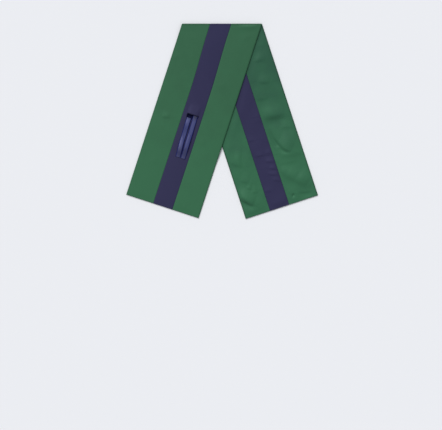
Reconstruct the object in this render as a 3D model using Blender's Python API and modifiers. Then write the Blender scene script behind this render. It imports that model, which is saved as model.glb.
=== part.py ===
"""A silk scarf with a drawstring channel, laid flat in one fold.

The scarf is a double strip: a front and a back, each pieced from a green panel, a navy band and
another green panel, sewn together all round. It lies folded once across its middle, so that its
two legs splay like an upside-down V. The upper leg shows the front of the scarf, with the slit
that the two ends of the drawstring come out of, and the lower leg shows the back.

Units are metres, +Z is up from the surface that the scarf lies on, and +Y runs towards the fold.
"across" is measured from the strip's centre line, "along" from the middle of the fold: below zero
on the upper leg and above zero on the lower one.
"""

from collections import namedtuple
from math import cos, exp, hypot, pi, radians, sin, tan

import bmesh
import bpy

MM = 0.001

# Driving sizes of the scarf.
WIDTH = 152 * MM
BAND = 40 * MM
UPPER_LEG = 381 * MM
LOWER_LEG = 382.5 * MM
LEAN = radians(18.1)
WALL = 1.0 * MM
SEAM = 0.3 * MM
LAYER_GAP = 0.6 * MM

# Half the thickness of a leg, from its middle layer to either face.
HALF = WALL + LAYER_GAP / 2

# The fold is a half turn about a line along X, with the lower leg's top inside it.
TURN_RADIUS = HALF + SEAM
TURN = pi * TURN_RADIUS
LIFT = 2 * TURN_RADIUS
AXIS_Z = HALF + TURN_RADIUS
TURN_DRIFT = TURN / 2 * tan(LEAN)
FOLD_Y = (LOWER_LEG * cos(LEAN) + WIDTH / 2 * sin(LEAN) - TURN_RADIUS - HALF) / 2

# The upper leg comes down to the surface over this distance beside the lower leg.
RAMP = 28 * MM
# Rows turn from the fold's slant to square with the strip over this distance.
FAN = 90 * MM

# The long edges and hems: the cloth turns down to the seam half way up.
EDGE_INSET = 1.6 * MM
EDGE_UPRIGHT = 0.6 * MM
EDGE_STEPS = 2

# Corner points nearer than this are the same point.
SAME_POINT = 0.01 * MM

# How far each panel rises between its seams, and how far from its ends it reaches that.
UPPER_CROWN = 0.5 * MM
COVERED_CROWN = 0.2 * MM
LOOSE_CROWN = 1.2 * MM
FOLD_FADE = 40 * MM
HEM_FADE = 14 * MM
# The lower leg's ridges start this far from the upper leg's edge, and are full after the next.
CLEAR_OF_EDGE = 2 * MM
FREE_AFTER = 14 * MM

# The slit in the front band of the upper leg, with its upper lip raised.
SLIT_ALONG = 189 * MM
SLIT_ACROSS = 0.4 * MM
SLIT_HALF = 12 * MM
SLIT_DEPTH = 7.8 * MM
SLIT_SKEW = 0.45
SLIT_SQUARENESS = 8
LIP_RISE = 3.2 * MM
LIP_REACH = 27 * MM
CUTTER_MARGIN = 0.3 * MM
CUTTER_DEPTH = 8 * MM
CUTTER_HEIGHT = 20 * MM

# Rows of the upper leg near the slit: past it towards the hem, and before it towards the fold.
ROWS_PAST_SLIT = [14 * MM, 11 * MM, SLIT_DEPTH, 5 * MM, 3.7 * MM, 2.5 * MM, 1.2 * MM, 0]
ROWS_BEFORE_SLIT = [5 * MM, 10 * MM, 16 * MM, 22 * MM]

# The two ends of the drawstring.
RIBBON = 9.4 * MM
RIBBON_SHOWN = 89 * MM
RIBBON_STEP = 4 * MM
# Its waves fade in past the slit, and out towards its ends.
WAVES_IN = 10 * MM
WAVES_OUT = 12 * MM

Drift = namedtuple("Drift", "along across")

# Where the bands' middle is on the strip, in millimetres: the seams aren't quite parallel.
BAND_DRIFT = [Drift(-384, 0.9), Drift(-140, 1.2), Drift(-20, -2), Drift(60, -4.7), Drift(385, -4.7)]

Ridge = namedtuple("Ridge", "along across end_along end_across half_width height")

# The largest folds of the loose lower leg, in millimetres.
RIDGES = [
    Ridge(198, 24, 204, 70, 8, 1.3),
    Ridge(252, 40, 268, 50, 17, 1.9),
    Ridge(262, -58, 268, -44, 15, 1.0),
    Ridge(316, 26, 330, 48, 9, 1.3),
    Ridge(330, 48, 349, 66, 9, 1.5),
    Ridge(329, -72, 345, -60, 6, 1.5),
    Ridge(345, -60, 357, -46, 6, 1.3),
]

Stop = namedtuple("Stop", "past across")
Wave = namedtuple("Wave", "past width height")
Rise = namedtuple("Rise", "start end")

# Where each drawstring end's middle runs, where it rises out of the channel and where it lifts
# off the band, in millimetres: past the slit, and across the strip. The left end turns up over
# the slit's lower lip, and the right one comes out from under its upper lip.
LEFT_ROUTE = [Stop(7.6, -5.2), Stop(14, -5.4), Stop(54, -4.9), Stop(92, -1.8)]
LEFT_RISE = Rise(-2, 7.6)
LEFT_WAVES = [Wave(23, 11, 1.2), Wave(71, 17, 2.0)]
RIGHT_ROUTE = [Stop(-10, 5.6), Stop(2, 5.6), Stop(14, 5.9), Stop(50, 7.6), Stop(92, 8.4)]
RIGHT_RISE = Rise(-7, 2.6)
RIGHT_WAVES = [Wave(20, 10, 0.5), Wave(66, 23, 2.0)]

GREEN = (0.044, 0.136, 0.074)
NAVY = (0.036, 0.034, 0.080)
RIBBON_BLUE = (0.070, 0.080, 0.230)


def smooth(share):
    """0 up to 0, 1 from 1, and an S-shaped rise between them."""
    share = min(1.0, max(0.0, share))
    return share * share * (3 - 2 * share)


def lift(x, y):
    """How high the upper leg's underside is: over the lower leg, and down beside it."""
    inside = (x - TURN_DRIFT) * cos(LEAN) + (y - FOLD_Y) * sin(LEAN) + WIDTH / 2
    return LIFT * smooth(inside / RAMP + 1)


def band_middle(along):
    """How far the bands' middle is from the strip's."""
    for start, end in zip(BAND_DRIFT, BAND_DRIFT[1:]):
        if along <= end.along * MM:
            break
    share = (along / MM - start.along) / (end.along - start.along)
    return (start.across + (end.across - start.across) * smooth(share)) * MM


def place(across, along, offset):
    """A point of the laid scarf, offset from its middle layer towards its front face."""
    outward = min(1.0, max(0.0, (abs(across) - BAND / 2) / (WIDTH / 2 - BAND / 2)))
    across += band_middle(along) * (1 - outward)
    if abs(along) <= TURN / 2:
        angle = pi * (along / TURN + 0.5)
        reach = TURN_RADIUS + offset
        x = across / cos(LEAN) + along * tan(LEAN)
        return x, FOLD_Y + reach * sin(angle), AXIS_Z + reach * cos(angle)
    side = -1 if along < 0 else 1
    down = abs(along) - TURN / 2
    down += side * across * tan(LEAN) * smooth(1 - down / FAN)
    x = across * cos(LEAN) + side * (down * sin(LEAN) + TURN_DRIFT)
    y = FOLD_Y + side * across * sin(LEAN) - down * cos(LEAN)
    if side < 0:
        return x, y, lift(x, y) + HALF + offset
    return x, y, HALF - offset


def panel_share(across):
    """How far a point is across its own panel: 0 at one seam and 1 at the next."""
    if abs(across) <= BAND / 2:
        return across / BAND + 0.5
    return (abs(across) - BAND / 2) / (WIDTH / 2 - BAND / 2)


def fullness(across, along):
    """1 in the middle of a panel, and 0 at its seams, at the fold and at the hem."""
    down = abs(along) - TURN / 2
    to_hem = (UPPER_LEG if along < 0 else LOWER_LEG) - down
    ends = smooth(down / FOLD_FADE) * smooth(to_hem / HEM_FADE)
    return sin(pi * panel_share(across)) * ends


def ridge_height(ridge, across, along):
    """How far one ridge raises a point of the lower leg."""
    run = ridge.end_along - ridge.along
    sweep = ridge.end_across - ridge.across
    from_start = along / MM - ridge.along, across / MM - ridge.across
    share = (from_start[0] * run + from_start[1] * sweep) / (run * run + sweep * sweep)
    share = min(1.0, max(0.0, share))
    away = hypot(from_start[0] - share * run, from_start[1] - share * sweep)
    return ridge.height * MM * exp(-((away / ridge.half_width) ** 2))


def uncovered(x, y):
    """0 where the upper leg covers the lower one, and 1 clear of it."""
    beside = (x + TURN_DRIFT) * cos(LEAN) - (y - FOLD_Y) * sin(LEAN) - WIDTH / 2
    return smooth((beside - CLEAR_OF_EDGE) / FREE_AFTER)


def lower_relief(across, along):
    """How far the shown face of the lower leg stands above a flat one."""
    x, y, _ = place(across, along, 0)
    free = uncovered(x, y)
    crown = COVERED_CROWN + (LOOSE_CROWN - COVERED_CROWN) * free
    seam_fade = min(1.0, 2.5 * fullness(across, along))
    ridges = sum(ridge_height(ridge, across, along) for ridge in RIDGES)
    return crown * fullness(across, along) + ridges * free * seam_fade


def upper_relief(across, along):
    """How far the shown face of the upper leg stands above a flat one."""
    return UPPER_CROWN * fullness(across, along) + lip_rise(across, along)


def lip_rise(across, along):
    """The raised lip on the fold side of the slit."""
    past = -along - TURN / 2 - SLIT_ALONG
    sideways = abs(across - SLIT_ACROSS) / SLIT_HALF
    if sideways >= 1 or past <= -LIP_REACH:
        return 0.0
    fall = 1 if past <= 0 else smooth(1 - past / slit_depth(across))
    across_slit = 1 - sideways**SLIT_SQUARENESS
    return LIP_RISE * across_slit * smooth(past / LIP_REACH + 1) * fall


def slit_depth(across):
    """How far the slit gapes, from its straight upper edge to its slack lower one."""
    sideways = (across - SLIT_ACROSS) / SLIT_HALF
    square = 1 - sideways**SLIT_SQUARENESS
    return SLIT_DEPTH * max(0.05, square * (1 - SLIT_SKEW * sideways))


def no_relief(across, along):
    """The faces that lie on something are flat."""
    return 0.0


def spaced(start, end, count):
    """count + 1 values, evenly spaced from start to end."""
    return [start + (end - start) * i / count for i in range(count + 1)]


def band_columns(count):
    """(across, half thickness) of each column of a navy band."""
    reach = BAND / 2 - SEAM / 2
    return [(across, HALF) for across in spaced(-reach, reach, count)]


def slit_columns():
    """The same for a band of the upper leg: left of the slit, along it, and right of it."""
    reach = BAND / 2 - SEAM / 2
    start, end = SLIT_ACROSS - SLIT_HALF, SLIT_ACROSS + SLIT_HALF
    columns = spaced(-reach, start, 2) + spaced(start, end, 10)[1:] + spaced(end, reach, 2)[1:]
    return [(across, HALF) for across in columns]


def turned_edge():
    """(inset, half thickness) from a long edge or hem inwards, to where the cloth is flat."""
    points = [(0, SEAM / 2)]
    for step in range(EDGE_STEPS):
        angle = pi / 2 * step / EDGE_STEPS
        inset = EDGE_INSET * (1 - cos(angle))
        points.append((inset, EDGE_UPRIGHT + (HALF - EDGE_UPRIGHT) * sin(angle)))
    return points


def side_columns(side, count):
    """(across, half thickness) of each column of a green panel: -1 is the left one."""
    flat = spaced(BAND / 2 + SEAM / 2, WIDTH / 2 - EDGE_INSET, count)
    columns = [(across, HALF) for across in flat]
    columns += [(WIDTH / 2 - inset, height) for inset, height in turned_edge()[::-1]]
    columns = [(side * across, height) for across, height in columns]
    return columns[::-1] if side < 0 else columns


def upper_rows():
    """(along, half thickness) of each row of the upper leg, from its hem up, and of the turn."""
    hem = -TURN / 2 - UPPER_LEG
    slit = -TURN / 2 - SLIT_ALONG
    flat = spaced(hem + EDGE_INSET, slit - ROWS_PAST_SLIT[0], 14)
    flat += [slit - past for past in ROWS_PAST_SLIT[1:]]
    flat += [slit + before for before in ROWS_BEFORE_SLIT]
    flat += spaced(slit + LIP_REACH, -TURN / 2, 15)
    flat += spaced(-TURN / 2, TURN / 2, 6)[1:]
    rows = [(hem + inset, height) for inset, height in turned_edge()]
    return rows + [(along, HALF) for along in flat]


def lower_rows(count):
    """(along, half thickness) of each row of the lower leg, from the seam gap at the fold."""
    hem = TURN / 2 + LOWER_LEG
    flat = spaced(TURN / 2 + SEAM, hem - EDGE_INSET, count)
    rows = [(along, HALF) for along in flat]
    return rows + [(hem - inset, height) for inset, height in turned_edge()[::-1]]


def wall(name, columns, rows, facing, relief, material):
    """One closed layer of cloth. facing is 1 for the front of the scarf and -1 for the back.

    Its inner face stops WALL inside the long edges and the hems.
    """
    shape = bmesh.new()
    side_limit = WIDTH / 2 - WALL
    upper_limit = -TURN / 2 - UPPER_LEG + WALL
    lower_limit = TURN / 2 + LOWER_LEG - WALL
    outer, inner = [], []
    for along, row_height in rows:
        inner_along = max(upper_limit, min(lower_limit, along))
        outer.append([])
        inner.append([])
        for across, column_height in columns:
            raised = relief(across, along)
            height = min(column_height, row_height) + raised
            inner_across = max(-side_limit, min(side_limit, across))
            inner_point = place(inner_across, inner_along, facing * (HALF - WALL + raised))
            outer[-1].append(shape.verts.new(place(across, along, facing * height)))
            inner[-1].append(shape.verts.new(inner_point))
    for face in (outer, inner):
        for row, next_row in zip(face, face[1:]):
            for a, b, c, d in zip(row, row[1:], next_row[1:], next_row):
                shape.faces.new((a, b, c, d))
    outer_rim, inner_rim = rim(outer), rim(inner)
    for i, vertex in enumerate(outer_rim):
        shape.faces.new((outer_rim[i - 1], vertex, inner_rim[i], inner_rim[i - 1]))
    bmesh.ops.remove_doubles(shape, verts=shape.verts, dist=SAME_POINT)
    bmesh.ops.recalc_face_normals(shape, faces=shape.faces)
    return cloth_object(name, shape, material)


def rim(grid):
    """The vertices round a grid's edge, in order."""
    right = [row[-1] for row in grid[1:-1]]
    left = [row[0] for row in grid[1:-1]]
    return grid[0] + right + grid[-1][::-1] + left[::-1]


def cloth_object(name, shape, material):
    """An object of a bmesh, smooth but for its edges."""
    mesh = bpy.data.meshes.new(name)
    shape.to_mesh(mesh)
    shape.free()
    mesh.materials.append(material)
    mesh.shade_smooth()
    mesh.set_sharp_from_angle(angle=radians(40))
    made = bpy.data.objects.new(name, mesh)
    scarf.objects.link(made)
    return made


def cloth(name, colour, roughness):
    """A plain woven finish."""
    material = bpy.data.materials.new(name)
    material.use_nodes = True
    shader = material.node_tree.nodes["Principled BSDF"]
    shader.inputs["Base Color"].default_value = (*colour, 1)
    shader.inputs["Roughness"].default_value = roughness
    shader.inputs["Metallic"].default_value = 0
    return material


def slit_cutter():
    """The gaping slit's outline on the upper leg, as a tall prism."""
    steps = 12
    reach = SLIT_HALF - CUTTER_MARGIN
    stations = spaced(SLIT_ACROSS - reach, SLIT_ACROSS + reach, steps)
    slit = -TURN / 2 - SLIT_ALONG
    outline = [(across, slit) for across in stations]
    outline += [(across, slit - slit_depth(across)) for across in reversed(stations)]
    shape = bmesh.new()
    floor = [shape.verts.new(place(*point, -CUTTER_DEPTH)) for point in outline]
    base = shape.faces.new(floor)
    grown = bmesh.ops.extrude_face_region(shape, geom=[base])["geom"]
    raised = [part for part in grown if isinstance(part, bmesh.types.BMVert)]
    bmesh.ops.translate(shape, verts=raised, vec=(0, 0, CUTTER_HEIGHT))
    bmesh.ops.recalc_face_normals(shape, faces=shape.faces)
    mesh = bpy.data.meshes.new("slit_cutter")
    shape.to_mesh(mesh)
    shape.free()
    cutter = bpy.data.objects.new("slit_cutter", mesh)
    cutters.objects.link(cutter)
    cutter.hide_render = True
    cutter.display_type = "WIRE"
    return cutter


def ribbon_height(past, across, rise, waves):
    """How high a drawstring end's underside is above the middle layer, past the slit."""
    out = smooth((past / MM - rise.start) / (rise.end - rise.start))
    on_band = HALF + SEAM + upper_relief(across, -TURN / 2 - SLIT_ALONG - max(past, SLIT_DEPTH))
    lifted = sum(
        wave.height * MM * exp(-(((past / MM - wave.past) / wave.width) ** 2))
        for wave in waves
    )
    settled = smooth((RIBBON_SHOWN - past) / WAVES_OUT) * smooth(past / WAVES_IN)
    return out * on_band + lifted * settled


def ribbon_middle(past, route):
    """Where a drawstring end's middle is, and how far it moves across for each metre past."""
    for start, end in zip(route, route[1:]):
        if past <= end.past * MM:
            break
    length = end.past - start.past
    share = (past / MM - start.past) / length
    sweep = end.across - start.across
    return (start.across + sweep * smooth(share)) * MM, sweep * 6 * share * (1 - share) / length


def ribbon(name, route, rise, waves, material):
    """One end of the drawstring, out of the slit and along the band."""
    begin = route[0].past * MM
    steps = round((RIBBON_SHOWN - begin) / RIBBON_STEP)
    columns = spaced(-RIBBON / 2, RIBBON / 2, 4)
    rows = spaced(RIBBON_SHOWN, begin, steps)
    shape = bmesh.new()
    bmesh.ops.create_grid(shape, x_segments=len(columns) - 1, y_segments=steps, size=0.5)
    for vertex in shape.verts:
        sideways = columns[round((vertex.co.x + 0.5) * (len(columns) - 1))]
        past = rows[round((vertex.co.y + 0.5) * steps)]
        middle, slant = ribbon_middle(past, route)
        across = middle + sideways
        past -= sideways * slant
        height = ribbon_height(past, across, rise, waves)
        vertex.co = place(across, -TURN / 2 - SLIT_ALONG - past, height)
    made = cloth_object(name, shape, material)
    solidify = made.modifiers.new("Thickness", "SOLIDIFY")
    solidify.thickness = WALL
    solidify.offset = 1
    return made


for old in list(bpy.data.objects):
    bpy.data.objects.remove(old)
scarf = bpy.data.collections.new("silk scarf")
cutters = bpy.data.collections.new("cutters")
for collection in (scarf, cutters):
    bpy.context.scene.collection.children.link(collection)

green_silk = cloth("green silk taffeta", GREEN, 0.5)
navy_silk = cloth("navy silk taffeta", NAVY, 0.5)
satin = cloth("blue satin ribbon", RIBBON_BLUE, 0.35)

for face, facing, relief in (("front", 1, upper_relief), ("back", -1, no_relief)):
    rows = upper_rows()
    wall(f"upper_{face}_left", side_columns(-1, 7), rows, facing, relief, green_silk)
    wall(f"upper_{face}_band", slit_columns(), rows, facing, relief, navy_silk)
    wall(f"upper_{face}_right", side_columns(1, 7), rows, facing, relief, green_silk)

for face, facing, relief, steps in (("front", 1, no_relief, 1), ("back", -1, lower_relief, 8)):
    rows = lower_rows(1 if face == "front" else 44)
    wall(f"lower_{face}_left", side_columns(-1, steps), rows, facing, relief, green_silk)
    wall(f"lower_{face}_band", band_columns(steps), rows, facing, relief, navy_silk)
    wall(f"lower_{face}_right", side_columns(1, steps), rows, facing, relief, green_silk)

slit = bpy.data.objects["upper_front_band"].modifiers.new("Slit", "BOOLEAN")
slit.operation = "DIFFERENCE"
slit.object = slit_cutter()

ribbon("ribbon_left", LEFT_ROUTE, LEFT_RISE, LEFT_WAVES, satin)
ribbon("ribbon_right", RIGHT_ROUTE, RIGHT_RISE, RIGHT_WAVES, satin)
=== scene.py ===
from collections import namedtuple
from math import cos, pi, radians, sin, tan

import bmesh
import bpy
import numpy as np
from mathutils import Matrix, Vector


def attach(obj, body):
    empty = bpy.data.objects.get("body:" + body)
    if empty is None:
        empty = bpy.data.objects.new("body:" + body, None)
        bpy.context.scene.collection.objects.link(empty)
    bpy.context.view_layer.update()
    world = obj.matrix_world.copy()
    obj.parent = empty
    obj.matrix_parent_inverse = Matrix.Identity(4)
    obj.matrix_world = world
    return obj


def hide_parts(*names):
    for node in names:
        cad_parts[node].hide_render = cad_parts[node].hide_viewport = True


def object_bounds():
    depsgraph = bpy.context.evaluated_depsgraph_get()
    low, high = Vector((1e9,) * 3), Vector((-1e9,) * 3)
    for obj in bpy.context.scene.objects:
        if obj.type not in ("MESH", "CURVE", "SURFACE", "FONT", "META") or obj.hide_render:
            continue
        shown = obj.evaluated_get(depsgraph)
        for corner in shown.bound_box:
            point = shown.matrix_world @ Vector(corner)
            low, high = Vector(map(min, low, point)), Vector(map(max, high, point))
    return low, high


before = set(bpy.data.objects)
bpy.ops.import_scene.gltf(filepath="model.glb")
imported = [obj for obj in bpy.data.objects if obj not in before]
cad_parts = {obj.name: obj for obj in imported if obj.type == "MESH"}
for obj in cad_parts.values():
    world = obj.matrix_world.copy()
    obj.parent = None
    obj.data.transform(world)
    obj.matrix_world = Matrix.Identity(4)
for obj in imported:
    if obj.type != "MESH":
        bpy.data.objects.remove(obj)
cad_low, cad_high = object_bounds()


# The table, the light and the camera: a pale, matt table seen from straight above through a
# long lens. Soft daylight comes from beyond the fold, a little from the left, and the pale room
# fills the shade.
MM = 0.001
PIXEL = 2 * MM
PHOTO_ACROSS = 442
PHOTO_MIDDLE = (221, 215)
FOLD_EDGE_PIXEL = (222.0, 23.8)
CAMERA_HEIGHT = 3.0
SENSOR = 36.0
TABLE_SIZE = 60
TABLE_DROP = 0.05 * MM
SUN_TOWARDS = Vector((-0.28, 0.62, 0.73))
SUN_SOFTNESS = radians(34)
SUN_STRENGTH = 2.35
ROOM_STRENGTH = 0.52
TABLE_COLOUR = "#E8E9EB"
ROOM_COLOUR = "#F7F9FF"


def linear(hex_colour):
    """A linear colour with alpha, from an sRGB hex value."""
    channels = [int(hex_colour[i:i + 2], 16) / 255 for i in (1, 3, 5)]
    light = [c / 12.92 if c <= 0.04045 else ((c + 0.055) / 1.055) ** 2.4 for c in channels]
    return (*light, 1.0)


def add_node(tree, kind, feeds=(), **settings):
    """A node of one kind, with its settings, and a socket or a value for each input in feeds."""
    node = tree.nodes.new(kind)
    for name, value in settings.items():
        setattr(node, name, value)
    for place, feed in dict(feeds).items():
        if isinstance(feed, bpy.types.NodeSocket):
            tree.links.new(feed, node.inputs[place])
        else:
            node.inputs[place].default_value = feed
    return node


def new_material(name):
    """An empty material's tree and its Principled shader."""
    material = bpy.data.materials.new(name)
    material.use_nodes = True
    return material, material.node_tree, material.node_tree.nodes["Principled BSDF"]


def plain_material(name, colour, inputs):
    """A material of one colour, with values for other inputs of its Principled shader."""
    material, _, shader = new_material(name)
    shader.inputs["Base Color"].default_value = linear(colour)
    for socket, value in inputs.items():
        shader.inputs[socket].default_value = value
    return material


# Matt laminate: no grain, hardly any gloss.
laminate = plain_material(
    "matt white laminate", TABLE_COLOUR, {"Roughness": 0.9, "Specular IOR Level": 0.1}
)

bpy.ops.mesh.primitive_plane_add(size=TABLE_SIZE, location=(0, 0, -TABLE_DROP))
table = bpy.context.object
table.name = "table"
table.data.materials.append(laminate)

sun = bpy.data.objects.new("window light", bpy.data.lights.new("window light", "SUN"))
sun.data.energy = SUN_STRENGTH
sun.data.angle = SUN_SOFTNESS
sun.rotation_euler = SUN_TOWARDS.to_track_quat("Z", "Y").to_euler()
bpy.context.collection.objects.link(sun)

room = bpy.data.worlds.new("pale room")
room.use_nodes = True
room.node_tree.nodes["Background"].inputs["Color"].default_value = linear(ROOM_COLOUR)
room.node_tree.nodes["Background"].inputs["Strength"].default_value = ROOM_STRENGTH
bpy.context.scene.world = room
bpy.context.scene.view_settings.view_transform = "Standard"

camera = bpy.data.objects.new("camera", bpy.data.cameras.new("camera"))
camera.data.sensor_width = SENSOR
camera.data.lens = SENSOR * CAMERA_HEIGHT / (PHOTO_ACROSS * PIXEL)
camera.location = (
    (PHOTO_MIDDLE[0] - FOLD_EDGE_PIXEL[0]) * PIXEL,
    cad_high.y - (PHOTO_MIDDLE[1] - FOLD_EDGE_PIXEL[1]) * PIXEL,
    CAMERA_HEIGHT,
)
bpy.context.collection.objects.link(camera)
bpy.context.scene.camera = camera


# The lower leg's front face, which lies on the table. The scarf is a double strip of silk
# taffeta: each face has a green panel, a navy band and a green panel, seamed together, and the
# two faces are sewn together all round. Here are the strip's sizes and the way that it lies.
WIDTH = 152 * MM
BAND = 40 * MM
UPPER_LEG = 381 * MM
LOWER_LEG = 382.5 * MM
LEAN = radians(18.1)
# HALF is half of a leg's thickness. The cloth goes round the fold at TURN_RADIUS, and down beside
# the lower leg over RAMP. Its rows are parallel to the fold there, and square to the leg past FAN.
HALF = 1.3 * MM
TURN_RADIUS = 1.6 * MM
TURN = pi * TURN_RADIUS
TURN_DRIFT = TURN / 2 * tan(LEAN)
LIFT = 2 * TURN_RADIUS
AXIS_Z = HALF + TURN_RADIUS
FOLD_Y = cad_high.y - TURN_RADIUS - HALF
RAMP = 28 * MM
FAN = 90 * MM

Drift = namedtuple("Drift", "along across")

# Where the bands' middle is on the strip, in millimetres: the seams aren't quite parallel.
BAND_DRIFT = [Drift(-384, 0.9), Drift(-140, 1.2), Drift(-20, -2), Drift(60, -4.7), Drift(385, -4.7)]

SILK = 0.35 * MM
SEAM_GAP = 0.05 * MM
FOLD_GAP = 0.1 * MM
ROLL_WIDTH = 1.9 * MM
ROLL_START = 0.3 * MM
MERGE = 0.01 * MM
SHARP = radians(50)
HIDDEN_STEP = 4 * MM


def smooth(share):
    """0 up to 0, 1 from 1, and an S-shaped rise between them."""
    share = np.clip(share, 0, 1)
    return share * share * (3 - 2 * share)


def lift(x, y):
    """How high the upper leg's underside is: over the lower leg, and down beside it."""
    inside = (x - TURN_DRIFT) * cos(LEAN) + (y - FOLD_Y) * sin(LEAN) + WIDTH / 2
    return LIFT * smooth(inside / RAMP + 1)


def band_middle(along):
    """How far the bands' middle is from the strip's."""
    stops = np.array(BAND_DRIFT) * MM
    stage = np.clip(np.searchsorted(stops[:, 0], along) - 1, 0, len(stops) - 2)
    start, end = stops[stage], stops[stage + 1]
    share = (along - start[..., 0]) / (end[..., 0] - start[..., 0])
    return start[..., 1] + (end[..., 1] - start[..., 1]) * smooth(share)


def lay(across, along, offset):
    """Points of the laid strip, offset from its middle layer towards its front face.

    across is measured from the strip's centre line, and along from the middle of the fold: it is
    below zero on the upper leg and above zero on the lower one.
    """
    across, along, offset = np.broadcast_arrays(across, along, offset)
    outward = np.clip((np.abs(across) - BAND / 2) / (WIDTH / 2 - BAND / 2), 0, 1)
    across = across + band_middle(along) * (1 - outward)
    side = np.where(along < 0, -1.0, 1.0)
    down = np.abs(along) - TURN / 2
    down = down + side * across * tan(LEAN) * smooth(1 - down / FAN)
    x = across * cos(LEAN) + side * (down * sin(LEAN) + TURN_DRIFT)
    y = FOLD_Y + side * across * sin(LEAN) - down * cos(LEAN)
    z = np.where(side < 0, lift(x, y) + HALF + offset, HALF - offset)
    angle = pi * (along / TURN + 0.5)
    reach = TURN_RADIUS + offset
    turned = np.abs(along) <= TURN / 2
    x = np.where(turned, across / cos(LEAN) + along * tan(LEAN), x)
    y = np.where(turned, FOLD_Y + reach * np.sin(angle), y)
    z = np.where(turned, AXIS_Z + reach * np.cos(angle), z)
    return np.stack((x, y, z), axis=-1)


def spaced(start, end, step):
    """Even stations from start to end, about a step apart."""
    return np.linspace(start, end, max(2, round(abs(end - start) / step) + 1))


def stations(start, end, step, start_profile, end_profile):
    """(place, half thickness) from start to end. A profile lists (inset, half thickness) from
    an end inwards, to where the cloth is flat."""
    flat = spaced(start + start_profile[-1][0], end - end_profile[-1][0], step)
    first = [(start + inset, height) for inset, height in start_profile[:-1]]
    last = [(end - inset, height) for inset, height in end_profile[-2::-1]]
    return np.array(first + [(place, HALF) for place in flat] + last)


# The closed outer edges: the two faces roll into each other round the seam allowance inside.
OUTER_EDGE = [(0, 0.04 * MM)]
OUTER_EDGE += [
    (ROLL_WIDTH * (1 - cos(angle)), ROLL_START + (HALF - ROLL_START) * sin(angle))
    for angle in np.linspace(0, pi / 2, 8)
]
# A seam between two panels: the cloth dips into it.
SEAM = [(SEAM_GAP, 0.72 * MM), (0.25 * MM, 0.98 * MM), (0.6 * MM, 1.18 * MM), (1.3 * MM, HALF)]
PLAIN_END = [(0, HALF)]


def panel_columns(panel, step):
    """The columns of one panel of a face."""
    if panel == "band":
        return stations(-BAND / 2, BAND / 2, step, SEAM, SEAM)
    if panel == "left":
        return stations(-WIDTH / 2, -BAND / 2, step, OUTER_EDGE, SEAM)
    return stations(BAND / 2, WIDTH / 2, step, SEAM, OUTER_EDGE)


def lower_rows(step):
    """The rows of a face of the lower leg, from the fold to the hem."""
    return stations(TURN / 2 + FOLD_GAP, TURN / 2 + LOWER_LEG, step, PLAIN_END, OUTER_EDGE)


def flat_cloth(name, columns, rows):
    """A grid of faces to lay as cloth, with the column and the row that each point is on."""
    last_column, last_row = len(columns) - 1, len(rows) - 1
    shape = bmesh.new()
    bmesh.ops.create_grid(shape, x_segments=last_column, y_segments=last_row, size=0.5)
    mesh = bpy.data.meshes.new(name)
    shape.to_mesh(mesh)
    shape.free()
    grid = np.zeros(len(mesh.vertices) * 3)
    mesh.vertices.foreach_get("co", grid)
    grid = grid.reshape(-1, 3) + 0.5
    column = columns[np.rint(grid[:, 0] * last_column).astype(int)]
    row = rows[np.rint(grid[:, 1] * last_row).astype(int)]
    return mesh, column, row


def lay_cloth(mesh, points, across, along):
    """Moves the grid's points to where the cloth lies. Its UV map holds the cloth's own places,
    in metres across and along."""
    mesh.vertices.foreach_set("co", points.ravel())
    corners = np.zeros(len(mesh.loops), dtype=int)
    mesh.loops.foreach_get("vertex_index", corners)
    weave = mesh.uv_layers.new(name="weave")
    weave.data.foreach_set("uv", np.stack((across, along), axis=-1)[corners].ravel())


def panel_sheet(name, columns, rows, facing, relief):
    """The outer face of one panel, as an open sheet. facing is 1 for the scarf's front and -1 for
    its back."""
    mesh, column, row = flat_cloth(name, columns, rows)
    across, along = column[:, 0], row[:, 0]
    height = np.minimum(column[:, 1], row[:, 1]) + relief(across, along)
    lay_cloth(mesh, lay(across, along, facing * height), across, along)
    merged = bmesh.new()
    merged.from_mesh(mesh)
    bmesh.ops.remove_doubles(merged, verts=merged.verts, dist=MERGE)
    merged.to_mesh(mesh)
    merged.free()
    return mesh


def thick_piece(name, mesh, thickness, side, material, inside=None):
    """An object of an open sheet, with its thickness on one side: 1 is along its normals.

    inside is the material of the face that this adds, where that differs.
    """
    piece = bpy.data.objects.new(name, mesh)
    bpy.context.collection.objects.link(piece)
    faces = [material, inside or material]
    for face in faces[::-side]:
        mesh.materials.append(face)
    mesh.shade_smooth()
    mesh.set_sharp_from_angle(angle=SHARP)
    solidify = piece.modifiers.new("Thickness", "SOLIDIFY")
    solidify.thickness = thickness
    solidify.offset = side
    solidify.material_offset = 1
    return piece


def finished(piece):
    """The piece with its modifiers made part of its mesh."""
    evaluated = piece.evaluated_get(bpy.context.evaluated_depsgraph_get())
    mesh = bpy.data.meshes.new_from_object(evaluated)
    mesh.name = piece.name
    piece.modifiers.clear()
    piece.data = mesh
    return piece


def sew_in(piece, node):
    """The piece stands for its solid."""
    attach(piece, "root")
    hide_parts(node)


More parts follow.
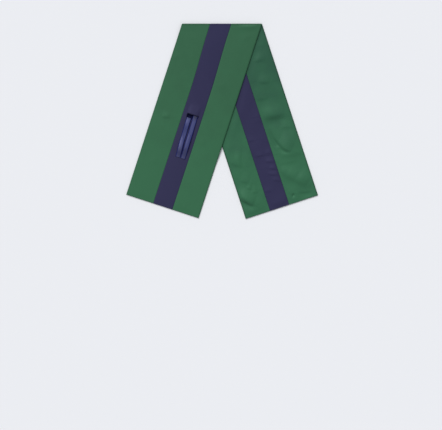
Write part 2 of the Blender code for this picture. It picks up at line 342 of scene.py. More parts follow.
def taffeta(name, near, far, sheen, edge_shade):
    """Silk taffeta: a crisp plain weave of fine, tight threads, with a soft, cool lustre.

    It has faint ribs across the strip, and clouds where the threads took the dye unevenly. near is
    its colour at the fold and far at the hems, where it is lighter: that change is painted shade,
    darkest at the fold. Its slubs are tinted a little towards the sheen colour, a painted sheen.
    Its last argument is how much painted shade darkens it along the long edges, where the cloth
    rolls away; painted shade darkens it on the fold's edge as well.
    """
    material, tree, shader = new_material(name)
    # The real ribs are about 0.4 mm apart; they are drawn twice as coarse, to show close up.
    rib_pitch = 0.8 * MM
    thread_pitch = 0.5 * MM
    slub_length, slub_height = 16 * MM, 0.8 * MM
    cloud_size = 34 * MM
    # Painted shade, darkest at the fold, fades out between these distances from it.
    fold_shade_fades_from, fold_shade_gone_by = 100 * MM, 300 * MM
    # Painted shade along the long edges, and on the fold's edge.
    edge_shade_from, edge_shade_by = WIDTH / 2 - 3 * MM, WIDTH / 2 - MM
    fold_edge_shade = 0.3
    place = add_node(tree, "ShaderNodeUVMap", uv_map="weave").outputs["UV"]
    ribs = add_node(
        tree, "ShaderNodeTexWave",
        {"Vector": place, "Scale": pi / 10 / rib_pitch, "Distortion": 1.2, "Detail": 1.0,
         "Detail Scale": 0.25},
        wave_type="BANDS", bands_direction="Y",
    ).outputs["Fac"]
    warp = add_node(
        tree, "ShaderNodeTexWave",
        {"Vector": place, "Scale": pi / 10 / thread_pitch, "Distortion": 0.8},
        wave_type="BANDS", bands_direction="X",
    ).outputs["Fac"]
    slub_place = add_node(
        tree, "ShaderNodeMapping",
        {"Vector": place, "Scale": (1 / slub_length, 1 / slub_height, 1)},
    ).outputs["Vector"]
    slub_noise = add_node(
        tree, "ShaderNodeTexNoise", {"Vector": slub_place, "Scale": 1.0, "Detail": 2.0}
    ).outputs["Fac"]
    slubs = add_node(
        tree, "ShaderNodeMapRange", {"Value": slub_noise, "From Min": 0.65, "From Max": 0.82}
    ).outputs["Result"]
    clouds = add_node(
        tree, "ShaderNodeTexNoise", {"Vector": place, "Scale": 1 / cloud_size, "Detail": 3.0}
    ).outputs["Fac"]
    along = add_node(tree, "ShaderNodeSeparateXYZ", {"Vector": place}).outputs["Y"]
    down = add_node(tree, "ShaderNodeMath", {0: along}, operation="ABSOLUTE").outputs[0]
    to_hem = add_node(
        tree, "ShaderNodeMapRange", {"Value": down, "From Min": fold_shade_fades_from, "From Max": fold_shade_gone_by}
    ).outputs["Result"]
    uneven = add_node(tree, "ShaderNodeMath", {0: clouds, 1: 0.5}, operation="SUBTRACT")
    clouds_and_fold_shade = add_node(
        tree, "ShaderNodeMath", {0: uneven.outputs[0], 1: 1.4, 2: to_hem},
        operation="MULTIPLY_ADD", use_clamp=True,
    ).outputs[0]
    # The clouds are the dye's; the darker colour towards the fold is painted shade.
    tone_and_painted_light = add_node(
        tree, "ShaderNodeMix", {"Factor": clouds_and_fold_shade, 6: linear(near), 7: linear(far)},
        data_type="RGBA",
    ).outputs[2]
    # The slubs are tinted towards the sheen colour: a painted sheen.
    slub_sheen = add_node(tree, "ShaderNodeMath", {0: slubs, 1: 0.05}, operation="MULTIPLY")
    woven = add_node(
        tree, "ShaderNodeMix",
        {"Factor": slub_sheen.outputs[0], 6: tone_and_painted_light, 7: linear(sheen)}, data_type="RGBA",
    ).outputs[2]
    crossing = add_node(tree, "ShaderNodeMath", {0: ribs, 1: 0.7, 2: warp}, operation="MULTIPLY_ADD")
    raised = add_node(
        tree, "ShaderNodeMath", {0: slubs, 1: 1.2, 2: crossing.outputs[0]},
        operation="MULTIPLY_ADD",
    )
    bump = add_node(
        tree, "ShaderNodeBump",
        {"Height": raised.outputs[0], "Strength": 0.35, "Distance": 0.05 * MM},
    )
    aside = add_node(tree, "ShaderNodeSeparateXYZ", {"Vector": place}).outputs["X"]
    aside = add_node(tree, "ShaderNodeMath", {0: aside}, operation="ABSOLUTE").outputs[0]
    at_edge = add_node(
        tree, "ShaderNodeMapRange",
        {"Value": aside, "From Min": edge_shade_from, "From Max": edge_shade_by, "To Max": edge_shade},
    ).outputs["Result"]
    at_fold = add_node(
        tree, "ShaderNodeMapRange",
        {"Value": down, "From Min": TURN / 2, "From Max": TURN / 2 + MM,
         "To Min": fold_edge_shade, "To Max": 0.0},
    ).outputs["Result"]
    # Painted shade: the stronger of the two, at the long edges and at the fold's edge.
    pressed = add_node(tree, "ShaderNodeMath", {0: at_edge, 1: at_fold}, operation="MAXIMUM")
    edge_shaded = add_node(
        tree, "ShaderNodeMix", {"Factor": pressed.outputs[0], 6: woven, 7: (0, 0, 0, 1)},
        data_type="RGBA",
    ).outputs[2]
    tree.links.new(edge_shaded, shader.inputs["Base Color"])
    tree.links.new(bump.outputs["Normal"], shader.inputs["Normal"])
    shader.inputs["Roughness"].default_value = 0.45
    shader.inputs["Specular IOR Level"].default_value = 0.3
    shader.inputs["Specular Tint"].default_value = linear(sheen)
    shader.inputs["Sheen Weight"].default_value = 0.1
    shader.inputs["Sheen Roughness"].default_value = 0.35
    shader.inputs["Sheen Tint"].default_value = linear(sheen)
    return material


# The last value is the painted shade along the long edges.
FRONT_SILKS = {
    "left": taffeta("green silk taffeta", "#335D43", "#356447", "#9CC8AE", 0.15),
    "band": taffeta("navy silk taffeta", "#2E2D48", "#302F4A", "#9A9AC4", 0),
}
FRONT_SILKS["right"] = FRONT_SILKS["left"]
# The back's green is a darker copy of the front's, darkest at the fold, with more painted shade at
# its long edges: painted shade for the lower leg, whose weave lies the other way to the light.
BACK_SILKS = {
    "left": taffeta("green silk taffeta of the back", "#2D5441", "#346448", "#9CC8AE", 0.4),
    "band": FRONT_SILKS["band"],
}
BACK_SILKS["right"] = BACK_SILKS["left"]

# The wrong side of the bands, which shows only inside the slit: unpressed and without lustre, and
# painted near black for the shade inside the channel.
wrong_side_in_painted_shade = plain_material(
    "navy silk taffeta wrong side", "#0B0D32", {"Roughness": 0.8, "Specular IOR Level": 0.1}
)

PANELS = ("left", "band", "right")


def pressed_flat(across, along):
    """The relief of a face that lies on something."""
    return np.zeros_like(across)


for panel in PANELS:
    name = f"lower_front_{panel}"
    columns = panel_columns(panel, HIDDEN_STEP)
    mesh = panel_sheet(f"silk_{name}", columns, lower_rows(HIDDEN_STEP), 1, pressed_flat)
    piece = thick_piece(f"silk_{name}", mesh, SILK, -1, FRONT_SILKS[panel])
    sew_in(piece, name)


# The lower leg's back face, which shows. It was gathered on its drawstring once, so it lies
# loose: broad soft folds and crisp little creases cross it, and the band puckers at its seam.
SHOWN_STEP = 1.3 * MM
LOOSE_CROWN = 1.2 * MM
COVERED_CROWN = 0.2 * MM
FOLD_FADE = 40 * MM
HEM_FADE = 14 * MM
COVERED_BESIDE = 2 * MM
FREED_WITHIN = 14 * MM
ALLOWANCE = 11 * MM
ALLOWANCE_STEP = 2.4 * MM
LOOSE_RIDGE = 0.14 * MM
LOOSE_WAVE = 0.3 * MM
LOOSE_WAVELENGTH = 48 * MM
RIPPLE = 0.07 * MM
RIPPLE_PITCH = 7.5 * MM
RIPPLE_REACH = 4.5 * MM
RIPPLE_DRIFT = 30 * MM
RIPPLE_PATCH = 70 * MM
CREASE_ENDS = 0.2

Crease = namedtuple("Crease", "height lee luff points")

# Heights and reaches in millimetres. The points are (along, across), from left to right, so lee is
# the reach on the hem's side, away from the light, and luff the reach on the lit side. A height
# below zero is a valley.
LOOSE_FOLDS = [
    Crease(2.2, 8, 16, ((201, 24), (205, 44), (207, 66))),
    Crease(2.2, 8, 46, ((284, 36), (292, 72))),
    Crease(1.4, 15, 18, ((262, -58), (268, -44))),
    Crease(1.8, 9, 14, ((316, 24), (331, 45), (338, 52))),
    Crease(2.0, 9, 14, ((336, 50), (354, 66))),
    Crease(2.0, 6, 18, ((334, -78), (360, -46))),
]
LOOSE_CREASES = [
    Crease(-1.8, 18, 7, ((213, 26), (217, 46), (221, 62))),
    Crease(2.0, 4.5, 26, ((266, 32), (284, 54))),
    Crease(-2.2, 4.0, 3.0, ((234, 28), (249, 29), (262, 33), (272, 37), (281, 43), (286, 50))),
    Crease(1.9, 6.5, 16, ((326, 32), (364, 68))),
    Crease(-1.1, 6.0, 3.0, ((371, 40), (376, 66))),
    Crease(-2.2, 5.0, 2.6, ((368, 31), (371, 35))),
    Crease(2.2, 4.0, 15, ((338, -76), (362, -51))),
    Crease(-1.6, 7.0, 3.0, ((346, -76), (356, -67), (364, -58), (367, -50))),
    Crease(1.1, 3.2, 12, ((326, -52), (331, -43))),
    Crease(1.0, 3.2, 10, ((338, -46), (340, -33))),
    Crease(1.4, 5.0, 18, ((264, -72), (274, -60), (282, -46))),
    Crease(1.3, 4.5, 16, ((308, -60), (318, -44))),
    Crease(0.9, 4.0, 12, ((88, 34), (93, 62))),
    Crease(1.2, 4.0, 12, ((132, 36), (139, 56))),
    Crease(0.8, 4.0, 12, ((164, 24), (168, 44))),
    Crease(0.8, 4.0, 12, ((232, 50), (238, 70))),
    Crease(0.9, 5.0, 16, ((300, 30), (304, 60))),
]
BAND_PUCKERS = [
    Crease(0.7, 2.4, 7, ((273, -14), (274, 3))),
    Crease(0.7, 2.4, 7, ((272, 8), (275, 18))),
    Crease(0.8, 2.4, 6, ((288, 2), (294, 19))),
    Crease(0.9, 2.4, 6, ((303, 5), (309, 19))),
    Crease(0.9, 2.6, 6, ((314, -1), (321, 19))),
    Crease(0.8, 2.4, 6, ((327, 4), (334, 19))),
    Crease(0.5, 2.4, 7, ((345, -18), (347, -4))),
    Crease(0.5, 2.4, 7, ((238, -19), (241, -6))),
]


def panel_share(across):
    """How far a point is across its own panel: 0 at one seam and 1 at the next."""
    side = (np.abs(across) - BAND / 2) / (WIDTH / 2 - BAND / 2)
    return np.clip(np.where(np.abs(across) <= BAND / 2, across / BAND + 0.5, side), 0, 1)


def fullness(across, along):
    """1 in the middle of a panel, and 0 at its seams, at the fold and at the hem."""
    down = np.abs(along) - TURN / 2
    to_hem = np.where(along < 0, UPPER_LEG, LOWER_LEG) - down
    ends = smooth(down / FOLD_FADE) * smooth(to_hem / HEM_FADE)
    return np.sin(pi * panel_share(across)) * ends


def crease_relief(crease, across, along):
    """How far one crease raises the cloth: all its height in the middle, least at its ends."""
    points = np.array(crease.points) * MM
    lengths = np.hypot(*np.diff(points, axis=0).T)
    before = np.concatenate(([0], np.cumsum(lengths)))
    nearest = np.full(across.shape, np.inf)
    share = np.zeros(across.shape)
    lee_side = np.zeros(across.shape, dtype=bool)
    for start, end, length, done in zip(points, points[1:], lengths, before):
        step = (end - start) / length
        down, right = along - start[0], across - start[1]
        reach = np.clip(down * step[0] + right * step[1], 0, length)
        away = np.hypot(down - reach * step[0], right - reach * step[1])
        closer = away < nearest
        nearest = np.where(closer, away, nearest)
        share = np.where(closer, (done + reach) / before[-1], share)
        lee_side = np.where(closer, down * step[1] > right * step[0], lee_side)
    fade = CREASE_ENDS + (1 - CREASE_ENDS) * np.sin(pi * share) ** 0.7
    half_width = np.where(lee_side, crease.lee, crease.luff) * MM
    return crease.height * MM * fade * np.exp(-((nearest / half_width) ** 2))


def creases(several, across, along):
    """The relief of several creases."""
    return sum(crease_relief(crease, across, along) for crease in several)


def undulation(across, along, height, wavelength, seed):
    """Low, broad, uneven waves, such as cloth keeps when it is only laid flat."""
    chance = np.random.default_rng(seed)
    waves = 7
    total = np.zeros_like(across)
    for _ in range(waves):
        direction, phase = chance.uniform(0, 2 * pi, 2)
        length = wavelength * chance.uniform(0.6, 1.7)
        run = across * cos(direction) + along * sin(direction)
        total = total + np.sin(2 * pi * run / length + phase)
    return height * total / waves**0.5


def seam_puckers(across, along, seed):
    """Small ripples that run out from the band's two seams, where the thread draws the cloth."""
    from_seam = np.abs(np.abs(across) - BAND / 2)
    phase = undulation(along * 0, along, 1.0, RIPPLE_DRIFT, seed) * 3
    ripple = np.sin(2 * pi * along / RIPPLE_PITCH + phase + np.sign(across))
    patchy = smooth(undulation(along * 0, along, 0.7, RIPPLE_PATCH, seed + 1) + 0.4)
    fade = np.exp(-from_seam / RIPPLE_REACH) * smooth(from_seam / MM)
    return RIPPLE * ripple * patchy * fade


def allowance_ridge(across, height):
    """The step where the seam allowance inside an outer edge ends."""
    inset = WIDTH / 2 - np.abs(across)
    return height * smooth((ALLOWANCE + ALLOWANCE_STEP / 2 - inset) / ALLOWANCE_STEP)


def uncovered(x, y):
    """0 where the upper leg covers the lower one, and 1 clear of it."""
    beside = (x + TURN_DRIFT) * cos(LEAN) - (y - FOLD_Y) * sin(LEAN) - WIDTH / 2
    return smooth((beside - COVERED_BESIDE) / FREED_WITHIN)


def give(full, softness):
    """How much the cloth gives way to folds: none where it is sewn or pressed over, and all of it
    a little away from there. The higher the softness is, the sooner that is."""
    return np.minimum(1, softness * full)


def loose_relief(across, along):
    """The lower leg's shown face: full, folded and creased where the upper leg leaves it free."""
    spot = lay(across, along, 0)
    free = uncovered(spot[..., 0], spot[..., 1])
    full = fullness(across, along)
    crown = (COVERED_CROWN + (LOOSE_CROWN - COVERED_CROWN) * free) * full
    folds = creases(LOOSE_FOLDS, across, along) * give(full, 2.5)
    fine = creases(LOOSE_CREASES, across, along) * give(full, 5)
    on_band = np.abs(across) <= BAND / 2
    puckers = np.where(on_band, creases(BAND_PUCKERS, across, along), 0) * give(full, 6)
    waves = undulation(across, along, LOOSE_WAVE, LOOSE_WAVELENGTH, seed=11) * give(full, 2.5)
    ridge = allowance_ridge(across, LOOSE_RIDGE) * give(full, 2.5)
    loose = (folds + fine + puckers + waves + ridge) * free
    return crown + loose + seam_puckers(across, along, seed=5)


for panel in PANELS:
    name = f"lower_back_{panel}"
    columns = panel_columns(panel, SHOWN_STEP)
    mesh = panel_sheet(f"silk_{name}", columns, lower_rows(SHOWN_STEP), -1, loose_relief)
    piece = thick_piece(f"silk_{name}", mesh, SILK, 1, BACK_SILKS[panel])
    sew_in(piece, name)


# The upper leg's back face, which lies on the lower leg and beside it on the table. It goes round
# inside the fold, where it meets the lower leg's back face.
HIDDEN_TURN_ROWS = 13


def upper_rows(step, turn_rows):
    """The rows of a face of the upper leg, from its hem to the fold and round it."""
    leg = stations(-TURN / 2 - UPPER_LEG, -TURN / 2, step, OUTER_EDGE, PLAIN_END)
    turn = [(along, HALF) for along in np.linspace(-TURN / 2, TURN / 2, turn_rows)[1:]]
    return np.concatenate((leg, turn))


for panel in PANELS:
    # The legs splay, so a panel crosses the lower leg's panels that are to the left of it.
    name = f"upper_back_{panel}"
    columns = panel_columns(panel, HIDDEN_STEP)
    rows = upper_rows(HIDDEN_STEP, HIDDEN_TURN_ROWS)
    mesh = panel_sheet(f"silk_{name}", columns, rows, -1, pressed_flat)
    inside = wrong_side_in_painted_shade if panel == "band" else None
    piece = thick_piece(f"silk_{name}", mesh, SILK, 1, BACK_SILKS[panel], inside)
    sew_in(piece, name)


# The upper leg's front face, which shows and goes over the fold. It is pressed almost smooth. Its
# band has the drawstring's slit, whose lip on the fold's side stands up over the ribbons.
SHOWN_TURN_ROWS = 25
UPPER_CROWN = 0.5 * MM
PRESSED_RIDGE = 0.06 * MM
PRESSED_WAVE = 0.07 * MM
PRESSED_WAVELENGTH = 60 * MM
CREASES_FROM_FOLD = 6 * MM
RIPPLES_FROM_FOLD = 20 * MM
SLIT_ALONG = 189 * MM
SLIT_ACROSS = 0.4 * MM
SLIT_HALF = 12 * MM
SLIT_DEPTH = 7.8 * MM
SLIT_SKEW = 0.45
SLIT_SQUARENESS = 8
SLIT_CORNER = 0.3 * MM
SLIT_POINTS = 28
LIP_RISE = 1.8 * MM
LIP_REACH = 27 * MM

# These run from right to left, so that lee is on the hem's side here too.
PRESSED_CREASES = [
    Crease(0.9, 3.0, 8, ((-209, -42), (-212, -57))),
    Crease(1.0, 6.0, 4, ((-5, 70), (-6, 36))),
    Crease(0.3, 5.0, 6, ((-24, 64), (-28, 48))),
    Crease(0.3, 6.0, 8, ((-88, -60), (-92, -71))),
    Crease(0.3, 7.0, 9, ((-114, 46), (-119, 30))),
    Crease(0.3, 7.0, 9, ((-234, 40), (-240, 28))),
    Crease(0.3, 7.0, 9, ((-298, -36), (-304, -52))),
]


def slit_depth(across):
    """How far the slit gapes, from its straight upper edge to its slack lower one."""
    sideways = np.clip((across - SLIT_ACROSS) / SLIT_HALF, -1, 1)
    square = 1 - sideways**SLIT_SQUARENESS
    return SLIT_DEPTH * np.maximum(0.05, square * (1 - SLIT_SKEW * sideways))


def lip_rise(across, along):
    """The raised lip on the fold side of the slit."""
    past = -along - TURN / 2 - SLIT_ALONG
    sideways = np.clip(np.abs(across - SLIT_ACROSS) / SLIT_HALF, 0, 1)
    fall = np.where(past <= 0, 1, smooth(1 - past / slit_depth(across)))
    return LIP_RISE * (1 - sideways**4) * smooth(past / LIP_REACH + 1) * fall


def pressed_relief(across, along):
    """The upper leg's shown face."""
    full = fullness(across, along)
    waves = undulation(across, along, PRESSED_WAVE, PRESSED_WAVELENGTH, seed=21) * give(full, 4)
    ridge = allowance_ridge(across, PRESSED_RIDGE) * give(full, 4)
    fine = creases(PRESSED_CREASES, across, along) * smooth(-along / CREASES_FROM_FOLD)
    ripples = seam_puckers(across, along, seed=8) * smooth(-along / RIPPLES_FROM_FOLD)
    return UPPER_CROWN * full + lip_rise(across, along) + waves + ridge + fine + ripples


def slit_cutter():
    """The slit's outline on the upper leg, as a tall prism."""
    under, height = -8 * MM, 20 * MM
    reach = SLIT_HALF - SLIT_CORNER
    across = np.linspace(SLIT_ACROSS - reach, SLIT_ACROSS + reach, SLIT_POINTS)
    slit = np.full_like(across, -TURN / 2 - SLIT_ALONG)
    outline = np.concatenate((
        lay(across, slit, under), lay(across[::-1], (slit - slit_depth(across))[::-1], under)
    ))
    shape = bmesh.new()
    base = shape.faces.new([shape.verts.new(point) for point in outline])
    grown = bmesh.ops.extrude_face_region(shape, geom=[base])["geom"]
    raised = [part for part in grown if isinstance(part, bmesh.types.BMVert)]
    bmesh.ops.translate(shape, verts=raised, vec=(0, 0, height))
    bmesh.ops.recalc_face_normals(shape, faces=shape.faces)
    mesh = bpy.data.meshes.new("slit")
    shape.to_mesh(mesh)
    shape.free()
    cutter = bpy.data.objects.new("slit", mesh)
    bpy.context.collection.objects.link(cutter)
    return cutter


for panel in PANELS:
    name = f"upper_front_{panel}"
    columns = panel_columns(panel, SHOWN_STEP)
    rows = upper_rows(SHOWN_STEP, SHOWN_TURN_ROWS)
    mesh = panel_sheet(f"silk_{name}", columns, rows, 1, pressed_relief)
    inside = wrong_side_in_painted_shade if panel == "band" else None
    piece = thick_piece(f"silk_{name}", mesh, SILK, -1, FRONT_SILKS[panel], inside)
    if panel == "band":
        cut = piece.modifiers.new("Slit", "BOOLEAN")
        cut.operation = "DIFFERENCE"
        cut.object = slit_cutter()
        finished(piece)
        bpy.data.objects.remove(bpy.data.objects["slit"])
    sew_in(piece, name)


# The sewing. The two faces are sewn through in the ditch of the band's seams, which makes the
# drawstring's channel, and the slit is a worked buttonhole, overcast with dark buttonhole twist
# whose near black is partly painted shade of the slit.
STITCH_PITCH = 2.6 * MM
STITCH_LENGTH = 2.0 * MM
STITCH_WIDTH = 0.34 * MM
STITCH_SUNK = 0.5 * MM
HEM_MARGIN = 2 * MM
FOLD_MARGIN = 1 * MM
WORKED_PITCH = 0.42 * MM
WORKED_LENGTH = 2.3 * MM
WORKED_WIDTH = 0.4 * MM
WORKED_PROUD = 0.05 * MM
WORKED_OVER = 0.35 * MM
LINE_STEP = 1.5 * MM
LIP_POINTS = 60

# Polyester sewing thread: smooth, slightly glossy, twisted too finely to show.
seam_thread = plain_material(
    "navy sewing thread", "#2A2B45", {"Roughness": 0.55, "Sheen Weight": 0.1}
)
# Silk buttonhole twist, dark navy, and painted nearly black in its tight row for the shade in the
# slit as well.
twist = plain_material(
    "midnight buttonhole twist", "#0D0F2E", {"Roughness": 0.6, "Specular IOR Level": 0.25}
)


def stitch_tree():
    """A row of stitches along a line of edges whose points carry the cloth's normal as "up"."""
    tree = bpy.data.node_groups.new("row of stitches", "GeometryNodeTree")
    sockets = {
        "Line": "NodeSocketGeometry", "Pitch": "NodeSocketFloat", "Size": "NodeSocketVector",
        "Turn": "NodeSocketFloat", "Unevenness": "NodeSocketFloat", "Seed": "NodeSocketInt",
        "Thread": "NodeSocketMaterial",
    }
    for name, kind in sockets.items():
        tree.interface.new_socket(name, in_out="INPUT", socket_type=kind)
    tree.interface.new_socket("Stitches", in_out="OUTPUT", socket_type="NodeSocketGeometry")
    given = add_node(tree, "NodeGroupInput").outputs
    line = add_node(tree, "GeometryNodeMeshToCurve", {"Mesh": given["Line"]}).outputs["Curve"]
    points = add_node(
        tree, "GeometryNodeCurveToPoints", {"Curve": line, "Length": given["Pitch"]}, mode="LENGTH"
    ).outputs
    up = add_node(
        tree, "GeometryNodeInputNamedAttribute", {"Name": "up"}, data_type="FLOAT_VECTOR"
    ).outputs["Attribute"]
    stitch = add_node(
        tree, "GeometryNodeMeshUVSphere", {"Segments": 6, "Rings": 5, "Radius": 0.5}
    ).outputs["Mesh"]
    smoothed = add_node(
        tree, "GeometryNodeSetShadeSmooth", {"Geometry": stitch}
    ).outputs["Geometry"]
    upright = add_node(tree, "FunctionNodeAlignRotationToVector", {"Vector": up}, axis="Z")
    facing = add_node(
        tree, "FunctionNodeAlignRotationToVector",
        {"Rotation": upright.outputs["Rotation"], "Vector": points["Tangent"]},
        axis="X", pivot_axis="Z",
    ).outputs["Rotation"]
    sway = add_node(
        tree, "FunctionNodeRandomValue", {2: -1.0, 3: 1.0, "Seed": given["Seed"]},
        data_type="FLOAT",
    ).outputs[1]
    swing = add_node(
        tree, "ShaderNodeMath", {0: sway, 1: given["Unevenness"], 2: given["Turn"]},
        operation="MULTIPLY_ADD",
    ).outputs[0]
    spin = add_node(tree, "ShaderNodeCombineXYZ", {"Z": swing}).outputs[0]
    spin = add_node(tree, "FunctionNodeEulerToRotation", {0: spin}).outputs[0]
    rotation = add_node(
        tree, "FunctionNodeRotateRotation", {"Rotation": facing, "Rotate By": spin},
        rotation_space="LOCAL",
    ).outputs[0]
    placed = add_node(
        tree, "GeometryNodeInstanceOnPoints",
        {"Points": points["Points"], "Instance": smoothed, "Rotation": rotation,
         "Scale": given["Size"]},
    ).outputs["Instances"]
    real = add_node(tree, "GeometryNodeRealizeInstances", {"Geometry": placed}).outputs[0]
    coloured = add_node(
        tree, "GeometryNodeSetMaterial", {"Geometry": real, "Material": given["Thread"]}
    ).outputs[0]
    out = add_node(tree, "NodeGroupOutput")
    tree.links.new(coloured, out.inputs["Stitches"])
    return tree


def cloth_line(across, along, offset, facing, relief):
    """Points just over a face of the cloth, and the way that the cloth faces there."""
    near = 0.2 * MM

    def over(a, t):
        return lay(a, t, facing * (HALF + relief(a, t) + offset))

    points = over(across, along)
    slope_across = over(across + near, along) - over(across - near, along)
    slope_along = over(across, along + near) - over(across, along - near)
    up = np.cross(slope_across, slope_along)
    up = up / np.linalg.norm(up, axis=-1, keepdims=True)
    up = up * np.where(up[:, 2:] < 0, -1, 1)
    return points, up


def stitch_row(name, lines, thread, pitch, size, turn, unevenness, seed):
    """A mesh of stitches along lines of (points, up)."""
    mesh = bpy.data.meshes.new(name)
    points = np.concatenate([line[0] for line in lines])
    up = np.concatenate([line[1] for line in lines])
    edges, start = [], 0
    for line in lines:
        edges += [(start + i, start + i + 1) for i in range(len(line[0]) - 1)]
        start += len(line[0])
    mesh.from_pydata(points.tolist(), edges, [])
    mesh.attributes.new("up", "FLOAT_VECTOR", "POINT").data.foreach_set("vector", up.ravel())
    row = bpy.data.objects.new(name, mesh)
    bpy.context.collection.objects.link(row)
    modifier = row.modifiers.new("Stitches", "NODES")
    modifier.node_group = stitches
    values = {
        "Pitch": pitch, "Size": size, "Turn": turn, "Unevenness": unevenness, "Seed": seed,
        "Thread": thread,
    }
    for item in stitches.interface.items_tree:
        if item.in_out == "INPUT" and item.name in values:
            modifier[item.identifier] = values[item.name]
    return finished(row)


stitches = stitch_tree()
UPPER_STRETCH = (-TURN / 2 - UPPER_LEG + HEM_MARGIN, -TURN / 2 - FOLD_MARGIN)
LOWER_STRETCH = (TURN / 2 + FOLD_MARGIN, TURN / 2 + LOWER_LEG - HEM_MARGIN)
SEWN_FACES = {
    "upper_front": (UPPER_STRETCH, 1, pressed_relief),
    "upper_back": (UPPER_STRETCH, -1, pressed_flat),
    "lower_back": (LOWER_STRETCH, -1, loose_relief),
    "lower_front": (LOWER_STRETCH, 1, pressed_flat),
}
for face, ((start, end), facing, relief) in SEWN_FACES.items():
    along = spaced(start, end, LINE_STEP)
    lines = [
        cloth_line(np.full_like(along, side * BAND / 2), along, -STITCH_SUNK, facing, relief)
        for side in (-1, 1)
    ]
    sewing = stitch_row(
        f"ditch_stitches_{face}", lines, seam_thread, STITCH_PITCH,
        (STITCH_LENGTH, STITCH_WIDTH, STITCH_WIDTH), turn=0.0, unevenness=0.06, seed=3,
    )
    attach(sewing, "root")

slit = -TURN / 2 - SLIT_ALONG
lip_across = np.linspace(SLIT_ACROSS - SLIT_HALF, SLIT_ACROSS + SLIT_HALF, LIP_POINTS)
inset = WORKED_LENGTH / 2 - WORKED_OVER
lips = [
    cloth_line(lip_across, lip_along, WORKED_PROUD, 1, pressed_relief)
    for lip_along in (
        np.full_like(lip_across, slit + inset), slit - slit_depth(lip_across) - inset
    )
]
worked_edge = stitch_row(
    "worked_slit_edge", lips, twist, WORKED_PITCH,
    (WORKED_LENGTH, WORKED_WIDTH, WORKED_WIDTH), turn=pi / 2, unevenness=0.09, seed=7,
)
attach(worked_edge, "root")


# The drawstring's two ends: satin ribbon, woven with long floats that shine, between two matt
# selvedges. They come out of the slit side by side, and lie along the band in low waves.
RIBBON = 9.4 * MM
SELVEDGE = 1.2 * MM
RIBBON_THICK = 0.32 * MM
RIBBON_SHOWN = 89 * MM
RIBBON_CLEAR = 0.12 * MM
RIBBON_STEP = 0.8 * MM
RIBBON_COLUMNS = 17
RIBBON_CURL = 0.45 * MM
TIP_SETTLED = 12 * MM
LIP_SETTLED = 10 * MM
TUCK_TURN = 0.42 * MM
TUCK_ROWS = 10
TUCKED = 5 * MM
PATH_POINTS = 40

Stop = namedtuple("Stop", "past across")
Wave = namedtuple("Wave", "past before after height")
Rise = namedtuple("Rise", "start end")

# In millimetres, past the slit: where each end's middle runs, where it rises out of the channel
# and where it lifts off the band. The left end turns up over the slit's lower lip, from inside
# the channel, and the right one comes out from under its upper lip.
RIBBONS = {
    "ribbon_left": (
        [Stop(8.0, -5.2), Stop(14, -5.3), Stop(52, -4.4), Stop(92, -2.2)],
        Rise(-2, 7.6),
        [Wave(23, 13, 10, 1.4), Wave(74, 17, 10, 2.1)],
    ),
    "ribbon_right": (
        [Stop(-10, 6.1), Stop(2, 6.1), Stop(14, 6.6), Stop(50, 7.4), Stop(92, 8.4)],
        Rise(-12, -3),
        [Wave(66, 42, 12, 2.6)],
    ),
}


def ribbon_satin():
    """Polyester satin ribbon: floats run along it, so it shines in streaks, which are painted into
    its colour as a painted sheen, and it is brighter and bluer than the taffeta. A painted shadow
    darkens it where it comes out of the slit, under the slit's lip, and painted shade makes it
    greyer towards its end."""
    material, tree, shader = new_material("royal navy satin ribbon")
    # The floats are about 0.15 mm wide; they are drawn at 0.45 mm, to show close up.
    float_pitch = 0.45 * MM
    streak_width, streak_length = 1.3 * MM, 30 * MM
    # Painted shade over the end's last stretch, and the painted shadow of the slit's lip at its
    # start.
    end_shade_from, end_shade_by = RIBBON_SHOWN - 28 * MM, RIBBON_SHOWN - 16 * MM
    slit_shadow_from, slit_shadow_by = 12 * MM, 3 * MM
    place = add_node(tree, "ShaderNodeUVMap", uv_map="weave").outputs["UV"]
    floats = add_node(
        tree, "ShaderNodeTexWave",
        {"Vector": place, "Scale": pi / 10 / float_pitch, "Distortion": 1.5, "Detail": 1.0,
         "Detail Scale": 0.1},
        wave_type="BANDS", bands_direction="X",
    ).outputs["Fac"]
    streak_place = add_node(
        tree, "ShaderNodeMapping",
        {"Vector": place, "Scale": (1 / streak_width, 1 / streak_length, 1)},
    ).outputs["Vector"]
    streaks = add_node(
        tree, "ShaderNodeTexNoise", {"Vector": streak_place, "Scale": 1.0, "Detail": 2.0}
    ).outputs["Fac"]
    # The lighter streaks are a painted sheen, mixed into the ribbon's blue.
    tone_and_painted_light = add_node(
        tree, "ShaderNodeMix",
        {"Factor": streaks, 6: linear("#282D57"), 7: linear("#333A6A")}, data_type="RGBA",
    ).outputs[2]
    past = add_node(tree, "ShaderNodeSeparateXYZ", {"Vector": place}).outputs["Y"]
    end_shade = {"Value": past, "From Min": end_shade_from, "From Max": end_shade_by, "To Max": 0.4}
    slit_shadow = {"Value": past, "From Min": slit_shadow_from, "From Max": slit_shadow_by, "To Max": 0.9}
    colour = tone_and_painted_light
    # Painted shade towards the end, then the slit's painted shadow.
    for change, shade in ((end_shade, "#2A2830"), (slit_shadow, "#07081A")):
        reach = add_node(tree, "ShaderNodeMapRange", change).outputs["Result"]
        colour = add_node(
            tree, "ShaderNodeMix", {"Factor": reach, 6: colour, 7: linear(shade)},
            data_type="RGBA",
        ).outputs[2]
    bump = add_node(
        tree, "ShaderNodeBump", {"Height": floats, "Strength": 0.25, "Distance": 0.03 * MM}
    )
    tree.links.new(colour, shader.inputs["Base Color"])
    tree.links.new(bump.outputs["Normal"], shader.inputs["Normal"])
    shader.inputs["Roughness"].default_value = 0.4
    shader.inputs["Specular IOR Level"].default_value = 0.85
    shader.inputs["Specular Tint"].default_value = linear("#C8CAF6")
    shader.inputs["Anisotropic"].default_value = 0.5
    return material


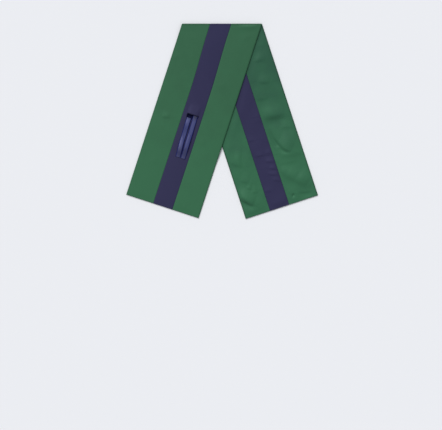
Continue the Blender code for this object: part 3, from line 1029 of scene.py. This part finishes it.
def ribbon_height(past, across, rise, waves):
    """How high a drawstring end's underside is above the middle layer, past the slit."""
    out = smooth((past / MM - rise.start) / (rise.end - rise.start))
    landed = -TURN / 2 - SLIT_ALONG - np.maximum(past, SLIT_DEPTH)
    on_band = HALF + RIBBON_CLEAR + pressed_relief(across, landed)
    lifted = np.zeros_like(past)
    for wave in waves:
        from_top = past / MM - wave.past
        reach = np.where(from_top < 0, wave.before, wave.after)
        lifted += wave.height * MM * np.exp(-((from_top / reach) ** 2))
    settled = smooth((RIBBON_SHOWN - past) / TIP_SETTLED) * smooth(past / LIP_SETTLED)
    return out * on_band + lifted * settled


def ribbon_middle(past, route):
    """Where a drawstring end's middle is, and how far it moves across for each metre past, which
    is from the slope of smooth."""
    stops = np.array(route) * MM
    leg = np.clip(np.searchsorted(stops[:, 0], past) - 1, 0, len(route) - 2)
    length = stops[leg + 1, 0] - stops[leg, 0]
    sweep = stops[leg + 1, 1] - stops[leg, 1]
    share = (past - stops[leg, 0]) / length
    return stops[leg, 1] + sweep * smooth(share), sweep * 6 * share * (1 - share) / length


def ribbon_points(past, sideways, course, thickness=0.0):
    """Points of a drawstring end's underside, or of its face at a thickness. Before its route
    starts it turns under, and runs on inside the channel."""
    route, rise, waves = course
    start = route[0].past * MM
    shown = np.maximum(past, start)
    tucked = np.maximum(start - past, 0)
    angle = np.minimum(tucked / TUCK_TURN, pi)
    middle, slant = ribbon_middle(shown, route)
    across = middle + sideways
    along_it = shown - sideways * slant
    curl = RIBBON_CURL * (1 - (2 * sideways / RIBBON) ** 2)
    height = ribbon_height(along_it, across, rise, waves) + curl * (1 + np.cos(angle)) / 2
    height = height - TUCK_TURN * (1 - np.cos(angle)) + thickness
    along_it = along_it - TUCK_TURN * np.sin(angle) + np.maximum(tucked - pi * TUCK_TURN, 0)
    return lay(across, -TURN / 2 - SLIT_ALONG - along_it, height)


satin = ribbon_satin()
# Its two selvedges are a matt plain weave, darker than the satin between them: partly their own
# weave and partly painted shade at the ends' edges and in the gap between them.
selvedge = plain_material(
    "royal navy ribbon selvedge", "#0E1756", {"Roughness": 0.8, "Specular IOR Level": 0.15}
)
# Both faces of the ribbon have a slot for the satin, and then both have one for the selvedges.
SATIN_SLOT = 0
SELVEDGE_SLOT = 2

for name, course in RIBBONS.items():
    begin = course[0][0].past * MM
    sideways = np.linspace(-RIBBON / 2, RIBBON / 2, RIBBON_COLUMNS)
    past = spaced(RIBBON_SHOWN, begin, RIBBON_STEP)
    if begin > 0:
        turned_under = np.linspace(begin, begin - pi * TUCK_TURN, TUCK_ROWS)[1:]
        past = np.concatenate((past, turned_under, turned_under[-1:] - TUCKED))
    mesh, column, row = flat_cloth(f"satin_{name}", sideways, past)
    lay_cloth(mesh, ribbon_points(row, column, course), column, row)
    piece = thick_piece(f"satin_{name}", mesh, RIBBON_THICK, 1, satin)
    mesh.materials.append(selvedge)
    mesh.materials.append(selvedge)
    aside = np.abs([column[list(face.vertices)].mean() for face in mesh.polygons])
    slots = np.where(aside > RIBBON / 2 - SELVEDGE, SELVEDGE_SLOT, SATIN_SLOT)
    mesh.polygons.foreach_set("material_index", slots)
    sew_in(piece, name)
    middle_line = ribbon_points(
        np.linspace(begin, RIBBON_SHOWN, PATH_POINTS), np.zeros(PATH_POINTS), course,
        RIBBON_THICK / 2,
    )
